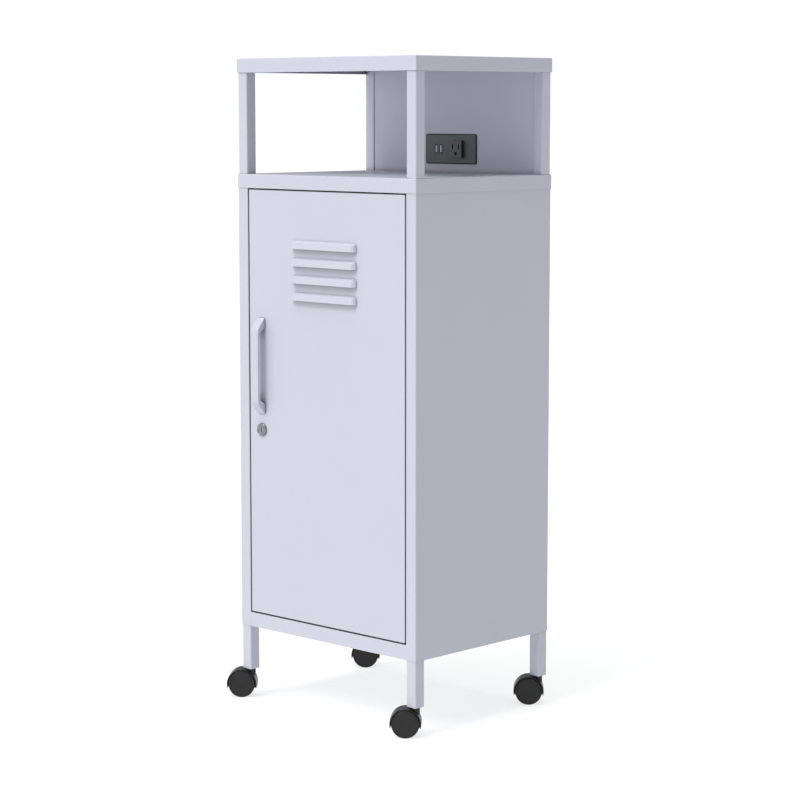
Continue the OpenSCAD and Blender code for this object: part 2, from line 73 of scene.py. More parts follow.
SHEET = 0.8 * MM                # thickness of the sheet metal
BEND = 1.5 * MM                 # outer radius of the sheet's folds
MIN_CORNER = 0.2 * MM           # smallest radius of a folded sheet's inner outlines
TUBE = 19 * MM                  # outside width of posts and legs
TUBE_WALL = 1.2 * MM
TUBE_CORNER = 1.8 * MM
TUBE_RIM = 0.2 * MM
TRAY_LIP = 8 * MM
REAR_FLANGE = 15 * MM
STOP_DEPTH = 14 * MM
DOOR_LIP = 10 * MM

LOUVER_COUNT = 4
LOUVER_TOP = 725.5 * MM
LOUVER_PITCH = 26 * MM
LOUVER_STRAIGHT = 61 * MM       # half length of a louver's straight part
LOUVER_HOOD = 13 * MM
LOUVER_BENDS = ((0.6, 1.2 * MM), (0.86, 3.2 * MM))  # share of the hood's depth, and drop, of its two bends
LOUVER_RADII = (1.6 * MM, 2.4 * MM)
LOUVER_END_STEPS = 8

HANDLE_RISE = 20 * MM           # length of the handle's sloping ends
HANDLE_FOOT = 18 * MM           # length of each foot against the door
HANDLE_T = 3 * MM
HANDLE_INNER_RISE = 8 * MM      # length of the sloping ends on the inside
HANDLE_TOE_R = 1.5 * MM
HANDLE_BEND_R = 16 * MM
HANDLE_HEEL_R = 1 * MM
HANDLE_INNER_R = 8 * MM

LOCK_HEAD_R = 10 * MM
LOCK_BARREL_R = 8 * MM
LOCK_BORE_R = 6.06 * MM
LOCK_RIM = 1.0 * MM             # rounding of the ring's outer edge
LOCK_LAND_R = LOCK_HEAD_R - 2.2 * MM    # where the flat rim ends
LOCK_DISH_R = LOCK_HEAD_R - 2.8 * MM    # where the dished face starts
LOCK_DISH = 0.7 * MM
LOCK_BORE_LIP = 0.9 * MM
LOCK_BORE_ROUND = 0.2 * MM

PLATE_CORNER = 2.5 * MM
PLATE_RIM = 0.9 * MM
PLATE_GROOVE = 1.1 * MM         # from the plate's edge to the groove round its face
PLATE_GROOVE_W = 0.5 * MM
PLATE_GROOVE_DEPTH = 0.35 * MM
PLATE_BLACK_EDGE = 0.4 * MM     # how far past the groove's near side the black rim reaches
PLATE_BLACK_DEPTH = 0.6 * MM
PLATE_OPENING_CORNER = 0.8 * MM
INSERT_SHADE_DEPTH = 0.5 * MM   # the outlet and the USB module are painted black as shade deeper than this

HOOD_R = 23.6 * MM
HOOD_IN_R = 21.6 * MM
HOOD_HALF = 13.8 * MM
HOOD_TIP = 2.2                  # how far the hood's tips rise inwards, as a share of its thickness
HOOD_EDGE = 0.2 * MM
HOOD_SHOULDER = 1.3 * MM
HOOD_STEPS = 44
WEB_HALF = 4.5 * MM
WEB_OVERLAP = 0.4 * MM
BOSS_R = 7 * MM
BOSS_H = 11 * MM
BOSS_ROUND = 1.2 * MM
BOSS_BULGE = 0.35 * MM
PIN_BORE_R = 3.06 * MM
AXLE_BORE_R = 2.56 * MM
WHEEL_IN = 5 * MM
WHEEL_W = 9.2 * MM
WHEEL_TREAD_ROUND = 1.3 * MM
WHEEL_INNER_EDGE = 0.8 * MM
WHEEL_GROOVE = ((2.3, 0), (2.7, 0.45), (3.2, 0.45), (3.7, 0.1))  # in from the tread and down, in mm
WHEEL_DISH_HALFWAY = 0.3 * MM
WHEEL_DISH = 0.35 * MM
WHEEL_MIDDLE_R = 0.2 * MM
WHEEL_BORE_DEPTH = 7.4 * MM

SHARP_ANGLE = 35                # in degrees; flatter edges are shaded smooth
BEVEL_ANGLE = 30                # in degrees; steeper edges are rounded

# Rounding of the CAD shapes that are kept, in millimetres
SOFT_EDGES = {
    "lock_plug": 0.15,
    "lock_cam": 0.2,
    "outlet_block": 0.35,
    "usb_module": 0.25,
    "usb_tongues": 0.2,
    "upper_shelf": 0.3,
    "lower_shelf": 0.3,
    "bottom_tray": 0.3,
    "niche_back_panel": 0.3,
    "head_rail": 0.3,
    "power_housing": 0.5,
    "magnetic_catch": 0.4,
}

# Planes that several pieces share
BODY_LO, BODY_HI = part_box("right_side_panel")
BODY_X = BODY_HI.x
FRONT = BODY_LO.y
REAR = BODY_HI.y
HINGE_STILE = BODY_LO.x
LOCK_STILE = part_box("left_side_panel")[1].x
FLOOR_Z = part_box("locker_back_panel")[0].z
UNDER_TRAY = BODY_HI.z


# ---------- looks ----------

PAINTED_SHADE_REACH = 16 * MM               # reach of the shade painted into creases
GRAIN_STRENGTH = 0.3
NOISE_SPAN = (0.3, 0.7)         # the noise values that take a blend from none to full
EDGE_HIGHLIGHT_SPAN = (0.99, 0.8)         # how far the rounded normal agrees with the true one, likewise for the painted edge highlight
PAINTED_SHADE_SPAN = (0.75, 0.2)       # how open the spot is, likewise for the painted crease shade

FLOOR_HALF = 40                 # half the floor's side
FLOOR_GREY = 0.30
FLOOR_GLOW = 0.73
LIGHT_COLOR = (1, 0.995, 0.965)
LIGHTS = (("overhead", 1.5, -90, 86, 40),  # name, strength, then azimuth, elevation and angle in degrees
          ("key", 1.7, -95, 50, 22),
          ("fill", 0.85, -128, 18, 70))
SKY_COLOR = (0.91, 0.94, 1, 1)
SKY_LIGHT = 0.40
SKY_SEEN = 1.1                  # the sky's strength where the camera sees it

SENSOR = 36                     # sensor width and focal length in millimetres
LENS = 107.10
CLIP_END = 200
CAMERA_PLACE = (2.5457, -2.6298, 0.9262)
CAMERA_AZIMUTH = math.radians(43.914)
CAMERA_PITCH = math.radians(7.039)


# ---------- materials ----------

def add_node(tree, kind, **settings):
    node = tree.nodes.new(kind)
    for key, value in settings.items():
        setattr(node, key, value)
    return node


def noise(tree, place, scale, detail, roughness=0.5):
    node = add_node(tree, "ShaderNodeTexNoise")
    node.inputs["Scale"].default_value = scale
    node.inputs["Detail"].default_value = detail
    node.inputs["Roughness"].default_value = roughness
    tree.links.new(place, node.inputs["Vector"])
    return node.outputs[0]


def ranged(tree, value, from_lo, from_hi, to_lo, to_hi):
    node = add_node(tree, "ShaderNodeMapRange")
    node.inputs["From Min"].default_value = from_lo
    node.inputs["From Max"].default_value = from_hi
    node.inputs["To Min"].default_value = to_lo
    node.inputs["To Max"].default_value = to_hi
    tree.links.new(value, node.inputs["Value"])
    return node.outputs["Result"]


def mixed(tree, factor, a, b):
    """Blends two colours; either one is a colour or another node's output."""
    node = add_node(tree, "ShaderNodeMix", data_type="RGBA")
    tree.links.new(factor, node.inputs["Factor"])
    # Inputs 6 and 7 and output 2 are the node's colours; the others are its numbers and vectors.
    for socket, value in ((node.inputs[6], a), (node.inputs[7], b)):
        if isinstance(value, tuple):
            socket.default_value = (*value, 1)
        else:
            tree.links.new(value, socket)
    return node.outputs[2]


def tinted(color, gain):
    return tuple(min(1.0, c * gain) for c in color)


def surface(name, color, roughness, metallic=0.0, spread=0.05, mottle=0.04, mottle_scale=9.0,
            grain=900.0, grain_depth=0.02, stretch=(1, 1, 1), edge=0.5, edge_highlight_gain=1.08,
            specular=0.5, coat=0.0, painted_crease_shade=0.0):
    """A surface with soft colour drift, fine grain in its gloss and relief, and rounded edges made paler by a
    painted highlight. Its crease setting paints shade close to other surfaces. grain_depth and edge are in
    millimetres; grain and mottle_scale are per metre."""
    material = bpy.data.materials.new(name)
    material.use_nodes = True
    tree = material.node_tree
    shader = tree.nodes["Principled BSDF"]
    place = add_node(tree, "ShaderNodeTexCoord").outputs["Object"]
    grid = add_node(tree, "ShaderNodeMapping")
    grid.inputs["Scale"].default_value = stretch
    tree.links.new(place, grid.inputs["Vector"])
    fine = noise(tree, grid.outputs["Vector"], grain, detail=3)
    broad = noise(tree, place, mottle_scale, detail=4, roughness=0.6)

    bevel = add_node(tree, "ShaderNodeBevel", samples=4)
    bevel.inputs["Radius"].default_value = edge * MM
    true_normal = add_node(tree, "ShaderNodeNewGeometry").outputs["Normal"]
    turn = add_node(tree, "ShaderNodeVectorMath", operation="DOT_PRODUCT")
    tree.links.new(bevel.outputs["Normal"], turn.inputs[0])
    tree.links.new(true_normal, turn.inputs[1])
    # Painted highlight: the edges are made paler where the rounded normal leans away from the true one.
    painted_highlight_mask = ranged(tree, turn.outputs["Value"], *EDGE_HIGHLIGHT_SPAN, 0.0, 1.0)

    drift = ranged(tree, broad, *NOISE_SPAN, 0.0, 1.0)
    body = mixed(tree, drift, tinted(color, 1 - mottle), tinted(color, 1 + mottle))
    # The colour with its painted edge highlight mixed in.
    painted_light_body = mixed(tree, painted_highlight_mask, body, tinted(color, edge_highlight_gain))
    # Painted shade: the colour darkens where other surfaces are close, as in creases and under the louvers.
    if painted_crease_shade:
        open_sky = add_node(tree, "ShaderNodeAmbientOcclusion", samples=8)
        open_sky.inputs["Distance"].default_value = PAINTED_SHADE_REACH
        closed = ranged(tree, open_sky.outputs["AO"], *PAINTED_SHADE_SPAN, 0.0, 1.0)
        painted_light_body = mixed(tree, closed, painted_light_body, tinted(color, 1 - painted_crease_shade))
    tree.links.new(painted_light_body, shader.inputs["Base Color"])
    gloss = ranged(tree, fine, *NOISE_SPAN, roughness - spread, roughness + spread)
    tree.links.new(gloss, shader.inputs["Roughness"])

    bump = add_node(tree, "ShaderNodeBump")
    bump.inputs["Strength"].default_value = GRAIN_STRENGTH
    bump.inputs["Distance"].default_value = grain_depth * MM
    tree.links.new(fine, bump.inputs["Height"])
    tree.links.new(bevel.outputs["Normal"], bump.inputs["Normal"])
    tree.links.new(bump.outputs["Normal"], shader.inputs["Normal"])

    shader.inputs["Metallic"].default_value = metallic
    shader.inputs["Specular IOR Level"].default_value = specular
    shader.inputs["Coat Weight"].default_value = coat
    return material


def make_surfaces():
    """One material for each slot of the record."""
    # Edge gains above one paint a highlight along the edges.
    return {
        # The body paint also gets painted shade in its creases.
        "body_paint": surface("body_paint", (0.50, 0.515, 0.59), 0.38, spread=0.05, mottle=0.012,
                              mottle_scale=5, grain=1100, grain_depth=0.03, edge=0.7, edge_highlight_gain=1.35,
                              painted_crease_shade=0.72),
        "zinc_steel": surface("zinc_steel", (0.62, 0.63, 0.66), 0.34, metallic=1, spread=0.1, mottle=0.08,
                              mottle_scale=160, grain=2600, stretch=(1, 1, 0.08), edge=0.25),
        "lock_chrome": surface("lock_chrome", (0.27, 0.275, 0.29), 0.22, metallic=1, spread=0.05,
                               mottle=0.05, mottle_scale=220, grain=3800, grain_depth=0.006,
                               stretch=(1, 1, 0.15), edge=0.15),
        "nylon": surface("nylon", (0.05, 0.05, 0.053), 0.5, mottle=0.1, mottle_scale=60, edge=0.3),
        "caster_nylon": surface("caster_nylon", (0.006, 0.006, 0.007), 0.32, spread=0.06, mottle=0.15,
                                mottle_scale=70, grain=2200, grain_depth=0.02, edge=0.4, edge_highlight_gain=1.8,
                                specular=0.35),
        "wheel_nylon": surface("wheel_nylon", (0.013, 0.013, 0.014), 0.44, spread=0.07, mottle=0.10,
                               mottle_scale=80, grain=2400, grain_depth=0.03, edge=0.4, edge_highlight_gain=1.4,
                               specular=0.35),
        "power_plastic": surface("power_plastic", (0.076, 0.096, 0.089), 0.45, spread=0.06, mottle=0.06,
                                 mottle_scale=70, grain=2600, grain_depth=0.02, edge=0.4, edge_highlight_gain=1.3),
        "housing_plastic": surface("housing_plastic", (0.022, 0.022, 0.024), 0.5, mottle=0.12,
                                   mottle_scale=60, grain=1800, grain_depth=0.04, edge=0.5,
                                   edge_highlight_gain=1.6),
        "outlet_plastic": surface("outlet_plastic", (0.066, 0.083, 0.077), 0.4, spread=0.06, mottle=0.08,
                                  mottle_scale=90, grain=2600, grain_depth=0.02, edge=0.4, edge_highlight_gain=1.5),
        "tongue_plastic": surface("tongue_plastic", (0.93, 0.93, 0.91), 0.4, mottle=0.04, mottle_scale=150,
                                  grain=3000, grain_depth=0.01, edge=0.15),
        "contact_brass": surface("contact_brass", (0.74, 0.56, 0.27), 0.3, metallic=1, spread=0.1, mottle=0.1,
                                 mottle_scale=200, grain=3000, grain_depth=0.01, edge=0.1),
        "circuit_board": surface("circuit_board", (0.03, 0.17, 0.075), 0.35, mottle=0.25, mottle_scale=420,
                                 grain=1500, grain_depth=0.03, edge=0.1, edge_highlight_gain=1.5, coat=0.3),
    }


SURFACES = make_surfaces()


# ---------- mesh kit ----------

def rounded_rect(a, b, radius, steps=4):
    """Points of a rectangle between two opposite corners, with rounded corners, counter-clockwise."""
    points = []
    quarters = ((b[0] - radius, b[1] - radius), (a[0] + radius, b[1] - radius),
                (a[0] + radius, a[1] + radius), (b[0] - radius, a[1] + radius))
    for quarter, (x, y) in enumerate(quarters):
        for step in range(steps + 1):
            turn = math.pi / 2 * (quarter + step / steps)
            points.append((x + radius * math.cos(turn), y + radius * math.sin(turn)))
    return points


def inset_rect(lo, hi, inset, radius):
    """The rounded rectangle between two corners, drawn in by the same distance on every side."""
    return rounded_rect((lo[0] + inset, lo[1] + inset), (hi[0] - inset, hi[1] - inset), radius)


def rolled_edge(radius, steps):
    """Pairs of (distance in, distance down) along a rounded edge, from its face round to its side."""
    turns = [math.pi / 2 * i / steps for i in range(steps + 1)]
    return [(radius * (1 - math.sin(t)), radius * (1 - math.cos(t))) for t in turns]


def circle(x, y, radius, count=32):
    turns = (2 * math.pi * i / count for i in range(count))
    return [(x + radius * math.cos(t), y + radius * math.sin(t)) for t in turns]


def fillet_path(points, radii, steps=5, closed=False):
    """The same polyline with an arc at each corner whose radius isn't zero."""
    out = []
    last = len(points) - 1
    for i, (point, radius) in enumerate(zip(points, radii)):
        if radius == 0 or (not closed and i in (0, last)):
            out.append(tuple(point))
            continue
        here = Vector(point)
        back = (Vector(points[i - 1]) - here).normalized()
        ahead = (Vector(points[(i + 1) % len(points)]) - here).normalized()
        half = back.angle(ahead) / 2
        reach = radius / math.tan(half)
        centre = here + (back + ahead).normalized() * (radius / math.sin(half))
        start = here + back * reach - centre
        end = here + ahead * reach - centre
        sweep = start.angle(end)
        for step in range(steps + 1):
            t = step / steps
            from_start = start * (math.sin((1 - t) * sweep) / math.sin(sweep))
            from_end = end * (math.sin(t * sweep) / math.sin(sweep))
            out.append(tuple(centre + (from_start + from_end)))
    return out


class Shape:
    """Vertices and faces in the making, in the shared frame or in a piece's own frame."""

    def __init__(self):
        self.bm = bmesh.new()

    def ring(self, points):
        return [self.bm.verts.new(p) for p in points]

    def face(self, verts):
        """Adds a face, unless there is one between these vertices already."""
        try:
            self.bm.faces.new(verts)
        except ValueError:
            pass

    def loft(self, loops, around=True, cap_start=False, cap_end=False, closed=False):
        """Faces between each ring of points and the next; around joins each ring's ends."""
        rings = [self.ring(points) for points in loops]
        pairs = list(zip(rings, rings[1:]))
        if closed:
            pairs.append((rings[-1], rings[0]))
        count = len(rings[0])
        for one, two in pairs:
            for i in range(count if around else count - 1):
                j = (i + 1) % count
                self.face((one[i], one[j], two[j], two[i]))
        if cap_start:
            self.face(list(reversed(rings[0])))
        if cap_end:
            self.face(rings[-1])
        return self

    def fill(self, loops):
        """Flat faces between an outline and the holes in it."""
        edges = []
        for points in loops:
            verts = self.ring(points)
            edges += [self.bm.edges.new((v, verts[(i + 1) % len(verts)])) for i, v in enumerate(verts)]
        bmesh.ops.triangle_fill(self.bm, use_beauty=True, edges=edges)
        return self

    def prism(self, outline, place, low, high):
        """An outline carried from low to high; place turns an outline point and a level into a 3-D point."""
        return self.loft([[place(p, low) for p in outline], [place(p, high) for p in outline]],
                         cap_start=True, cap_end=True)

    def box(self, a, b):
        corners = ((a[0], a[1]), (b[0], a[1]), (b[0], b[1]), (a[0], b[1]))
        return self.prism(corners, lambda p, z: (p[0], p[1], z), a[2], b[2])

    def lathe(self, profile, place, count=64, closed=False):
        """A profile of (radius, level) turned round an axis; place turns (u, v, level) into a 3-D point."""
        loops = []
        for radius, level in profile:
            turns = (2 * math.pi * i / count for i in range(count))
            loops.append([place(radius * math.cos(t), radius * math.sin(t), level) for t in turns])
        return self.loft(loops, closed=closed)

    def finish(self, name, slot, body, replaced=(), matrix=None, thickness=0.0, outward=None, bevel=0.0,
               bevel_steps=2):
        """Makes the piece: welds it, thickens an open sheet inwards, rounds its edges, and hangs it on its
        body. outward is (point, direction): the face nearest the point is turned to face that direction."""
        bm = self.bm
        bmesh.ops.remove_doubles(bm, verts=bm.verts, dist=1e-6)
        bmesh.ops.dissolve_degenerate(bm, edges=bm.edges, dist=1e-7)
        bmesh.ops.recalc_face_normals(bm, faces=bm.faces)
        if outward:
            point, direction = Vector(outward[0]), Vector(outward[1])
            nearest = min(bm.faces, key=lambda f: (f.calc_center_median() - point).length)
            if nearest.normal.dot(direction) < 0:
                bmesh.ops.reverse_faces(bm, faces=bm.faces)
        if matrix:
            bmesh.ops.transform(bm, matrix=matrix, verts=bm.verts)
        mesh = bpy.data.meshes.new(name)
        bm.to_mesh(mesh)
        bm.free()
        piece = bpy.data.objects.new(name, mesh)
        bpy.context.scene.collection.objects.link(piece)
        if thickness:
            shell = piece.modifiers.new("thickness", "SOLIDIFY")
            shell.thickness = thickness
            shell.offset = -1
        if bevel:
            round_edges(piece, bevel, bevel_steps)
        apply_modifiers(piece)
        shade(piece)
        piece.data.materials.clear()
        piece.data.materials.append(SURFACES[slot])
        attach(piece, body)
        if replaced:
            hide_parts(*replaced)
        return piece


def round_edges(piece, width, steps):
    bevel = piece.modifiers.new("edges", "BEVEL")
    bevel.width = width
    bevel.segments = steps
    bevel.limit_method = "ANGLE"
    bevel.angle_limit = math.radians(BEVEL_ANGLE)


def apply_modifiers(piece):
    if not piece.modifiers:
        return
    graph = bpy.context.evaluated_depsgraph_get()
    mesh = bpy.data.meshes.new_from_object(piece.evaluated_get(graph))
    piece.modifiers.clear()
    piece.data = mesh


def shade(piece):
    """Smooth shading across all but sharp edges, with normals weighted towards the large faces."""
    for polygon in piece.data.polygons:
        polygon.use_smooth = True
    piece.data.set_sharp_from_angle(angle=math.radians(SHARP_ANGLE))
    weighted = piece.modifiers.new("normals", "WEIGHTED_NORMAL")
    weighted.keep_sharp = True
    weighted.weight = 80


def softened(node, width):
    """A piece with the CAD node's own shape and rounded edges, which stands for that node."""
    source = frame["nodes"][node]
    shape = Shape()
    shape.bm.from_mesh(source.data)
    bmesh.ops.remove_doubles(shape.bm, verts=shape.bm.verts, dist=1e-6)
    bmesh.ops.dissolve_limit(shape.bm, angle_limit=math.radians(1), verts=shape.bm.verts,
                             edges=shape.bm.edges)
    plain = Shape()
    copies = [plain.bm.verts.new(v.co) for v in shape.bm.verts]
    shape.bm.verts.index_update()
    for face in shape.bm.faces:
        plain.face([copies[v.index] for v in face.verts])
    shape.bm.free()
    return plain.finish(node + "_soft", slot_of(node), source["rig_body"], (node,), bevel=width)


def slot_of(node):
    return frame["nodes"][node].material_slots[0].material.name.split(".")[0]


# ---------- sheet metal ----------

def tray(name, lips):
    """A flat tray with its four edges folded down, and with folded-in lips where it has them."""
    lo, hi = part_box(name)
    shape = Shape()
    rows = [(inset, hi.z - drop) for inset, drop in rolled_edge(BEND, 4)] + [(0, lo.z)]
    inner = [(SHEET, lo.z), (SHEET, hi.z - BEND), (BEND, hi.z - SHEET)]
    loops = []
    for inset, z in rows + inner:
        outline = inset_rect(lo, hi, inset, max(BEND - inset, MIN_CORNER))
        loops.append([(x, y, z) for x, y in outline])
    shape.loft(loops, cap_start=True, cap_end=True)
    if lips:
        reach = BODY_X - SHEET - TUBE
        depth = REAR - SHEET - TUBE
        for s in (-1, 1):
            x0, x1 = sorted((s * hi.x - s * SHEET, s * (hi.x - TRAY_LIP)))
            y0, y1 = sorted((s * hi.y - s * SHEET, s * (hi.y - TRAY_LIP)))
            shape.box((-reach, y0, lo.z), (reach, y1, lo.z + SHEET))
            shape.box((x0, -depth, lo.z), (x1, depth, lo.z + SHEET))
    shape.finish(name + "_shell", "body_paint", "cabinet", (name,))


def tube(node):
    """A square steel tube with rounded corners, open at both ends."""
    lo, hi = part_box(node)
    rows = [(TUBE_RIM, lo.z), (0, lo.z + TUBE_RIM), (0, hi.z - TUBE_RIM), (TUBE_RIM, hi.z),
            (TUBE_WALL, hi.z), (TUBE_WALL, lo.z)]
    loops = []
    for inset, z in rows:
        outline = inset_rect(lo, hi, inset, TUBE_CORNER - inset)
        loops.append([(x, y, z) for x, y in outline])
    Shape().loft(loops, closed=True).finish(node + "_tube", "body_paint", "cabinet", (node,))


def side_panel(node, side, stile):
    """A side wall folded round to the rear flange and to the front stile with its door stop."""
    flange = side * (BODY_X - REAR_FLANGE)
    wall = side * BODY_X
    path = [(flange, REAR), (wall, REAR), (wall, FRONT), (stile, FRONT), (stile, FRONT + STOP_DEPTH)]
    with_stop = fillet_path(path, (0, BEND, BEND, BEND, 0))
    without_stop = fillet_path(path[:4], (0, BEND, BEND, 0))
    shape = Shape()
    shape.loft([[(x, y, z) for x, y in with_stop] for z in (FLOOR_Z, UNDER_TRAY)], around=False)
    shape.loft([[(x, y, z) for x, y in without_stop] for z in (BODY_LO.z, FLOOR_Z)], around=False)
    outward = ((wall, 0, (FLOOR_Z + UNDER_TRAY) / 2), (side, 0, 0))
    shape.finish(node + "_sheet", "body_paint", "cabinet", (node,), thickness=SHEET, outward=outward)


def louver_rows(out):
    """Distance out from the door and drop below the top edge, from the louver's root to its lip."""
    bends = [(out * share, drop) for share, drop in LOUVER_BENDS]
    return fillet_path([(0, 0), *bends, (out, LOUVER_HOOD)], (0, *LOUVER_RADII, 0), steps=4)


def add_louver(shape, middle, top, out):
    """Adds one pressed hood, open below, and returns the outline of its hole in the door's face."""
    rows = louver_rows(out)
    turns = [math.pi / 2 * i / LOUVER_END_STEPS for i in range(LOUVER_END_STEPS + 1)]
    loops = []
    for reach, drop in rows:
        left = [(middle - LOUVER_STRAIGHT - reach * math.cos(t), FRONT - reach * math.sin(t), top - drop)
                for t in turns]
        right = [(2 * middle - x, y, z) for x, y, z in reversed(left)]
        loops.append(left + right)
    shape.loft(loops, around=False)
    right_edge = [(middle + LOUVER_STRAIGHT + reach, FRONT, top - drop) for reach, drop in rows]
    left_edge = [(2 * middle - x, y, z) for x, y, z in reversed(right_edge)]
    return right_edge + left_edge


def door():
    """The door's skin with its louvers and the hole for the lock, and the lips folded in behind it."""
    lo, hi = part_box("door_panel")
    out = FRONT - lo.y
    lock_lo, lock_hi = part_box("lock_plug")
    lock = (lock_lo + lock_hi) / 2
    shape = Shape()
    middle = (lo.x + hi.x) / 2
    holes = [add_louver(shape, middle, LOUVER_TOP - i * LOUVER_PITCH, out) for i in range(LOUVER_COUNT)]
    holes.append([(x, FRONT, z) for x, z in circle(lock.x, lock.z, LOCK_BARREL_R)])

    def outline(inset, y):
        corner = max(BEND - inset, MIN_CORNER)
        return [(x, y, z) for x, z in inset_rect(lo.xz, hi.xz, inset, corner)]

    rows = [(inset, FRONT + depth) for inset, depth in rolled_edge(BEND, 4)]
    shape.fill([outline(*rows[0])] + holes)
    shape.loft([outline(inset, y) for inset, y in rows] + [outline(0, hi.y)])
    outward = ((middle, FRONT, (lo.z + hi.z) / 2), (0, -1, 0))
    shape.finish("door_skin", "body_paint", "door", ("door_panel",), thickness=SHEET, outward=outward)

    lips = Shape()
    for x0, x1 in ((lo.x + SHEET / 2, lo.x + DOOR_LIP), (hi.x - DOOR_LIP, hi.x - SHEET / 2)):
        lips.box((x0, hi.y - SHEET, lo.z + SHEET), (x1, hi.y, hi.z - SHEET))
    lips.finish("door_lips", "body_paint", "door", bevel=0.25 * MM)


# ---------- handle and lock ----------

def handle():
    """A flat bow with sloping ends, bent from one strip, its long edges rounded."""
    lo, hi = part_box("handle")
    middle = (lo.z + hi.z) / 2
    half = (hi.z - lo.z) / 2
    out = FRONT - lo.y
    slope = half - HANDLE_RISE
    foot = half - HANDLE_FOOT
    inner = out - HANDLE_T
    corners = [(0, half), (out, slope), (out, -slope), (0, -half),
               (0, -foot), (inner, HANDLE_INNER_RISE - foot), (inner, foot - HANDLE_INNER_RISE), (0, foot)]
    radii = (HANDLE_TOE_R, HANDLE_BEND_R, HANDLE_BEND_R, HANDLE_TOE_R,
             HANDLE_HEEL_R, HANDLE_INNER_R, HANDLE_INNER_R, HANDLE_HEEL_R)
    path = fillet_path(corners, radii, steps=8, closed=True)
    shape = Shape().prism(path, lambda p, x: (x, FRONT - p[0], middle + p[1]), lo.x, hi.x)
    shape.finish("handle_bow", "body_paint", "door", ("handle",), bevel=1.1 * MM, bevel_steps=3)


def lock():
    """The lock's ring with its rounded rim and the barrel behind it."""
    lo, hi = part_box("lock_housing")
    x, z = (lo.x + hi.x) / 2, (lo.z + hi.z) / 2
    profile = [(LOCK_BORE_R, hi.y), (LOCK_BARREL_R, hi.y), (LOCK_BARREL_R, FRONT), (LOCK_HEAD_R, FRONT)]
    profile += [(LOCK_HEAD_R - inset, lo.y + depth) for depth, inset in rolled_edge(LOCK_RIM, 5)]
    profile += [(LOCK_LAND_R, lo.y), (LOCK_DISH_R, lo.y + LOCK_DISH),
                (LOCK_BORE_R + LOCK_BORE_ROUND, lo.y + LOCK_DISH), (LOCK_BORE_R, lo.y + LOCK_BORE_LIP)]
    shape = Shape().lathe(profile, lambda u, v, level: (x + u, level, z + v), closed=True)
    shape.finish("lock_ring", "lock_chrome", "door", ("lock_housing",))


# ---------- power unit ----------

def faceplate():
    """The plate with its soft rim, and openings for the outlet and the charging ports."""
    lo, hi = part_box("power_faceplate")
    out_lo, out_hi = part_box("outlet_block")
    usb_lo, usb_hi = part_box("usb_module")
    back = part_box("niche_back_panel")[0].y
    rows = [(inset, lo.y + depth) for inset, depth in rolled_edge(PLATE_RIM, 3)]

    def outline(inset, y):
        return [(x, y, z) for x, z in inset_rect(lo.xz, hi.xz, inset, PLATE_CORNER - inset / 2)]

    def opening(a, b, y):
        return [(x, y, z) for x, z in rounded_rect(a.xz, b.xz, PLATE_OPENING_CORNER)]

    shape = Shape()
    face_edge = outline(PLATE_GROOVE + PLATE_GROOVE_W, lo.y)
    groove_bottom = outline(PLATE_GROOVE + PLATE_GROOVE_W / 2, lo.y + PLATE_GROOVE_DEPTH)
    shape.fill([face_edge, opening(out_lo, out_hi, lo.y), opening(usb_lo, usb_hi, lo.y)])
    shape.loft([face_edge, groove_bottom, outline(PLATE_GROOVE, lo.y)]
               + [outline(inset, y) for inset, y in rows] + [outline(0, back)])
    shape.fill([outline(0, back), opening(out_lo, out_hi, back), opening(usb_lo, usb_hi, back)])
    for a, b in ((out_lo, out_hi), (usb_lo, usb_hi)):
        shape.loft([opening(a, b, lo.y), opening(a, b, back)])
    plate = shape.finish("power_plate", "power_plastic", "cabinet", ("power_faceplate",))
    # Everything deeper than PLATE_BLACK_DEPTH, including the openings' walls, takes the black plastic, which
    # is painted shade in the recesses. The band round the edge is black as well.
    plate.data.materials.append(SURFACES["housing_plastic"])
    for polygon in plate.data.polygons:
        x, y, z = polygon.center
        from_edge = min(x - lo.x, hi.x - x, z - lo.z, hi.z - z)
        if from_edge < PLATE_GROOVE + PLATE_BLACK_EDGE or y > lo.y + PLATE_BLACK_DEPTH:
            polygon.material_index = 1


def paint_shade_behind(piece, level):
    """Gives everything behind a level, such as slots and sides, the black plastic as painted shade."""
    piece.data.materials.append(SURFACES["housing_plastic"])
    for polygon in piece.data.polygons:
        if polygon.center.y > level:
            polygon.material_index = 1


# ---------- casters ----------

def caster_place(corner):
    """The caster's own frame as a matrix, with its swivel axis on Z and its wheels towards +X, then the
    distance from swivel to axle and the wheels' radius."""
    leg_lo, leg_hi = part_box(corner + "_leg")
    axle_lo, axle_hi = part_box(corner + "_caster_axle")
    swivel = (leg_lo + leg_hi) / 2
    hub = (axle_lo + axle_hi) / 2
    away = Vector((hub.x - swivel.x, hub.y - swivel.y, 0))
    matrix = Matrix.Translation((swivel.x, swivel.y, 0)) @ Matrix.Rotation(math.atan2(away.y, away.x), 4, "Z")
    return matrix, away.length, hub.z


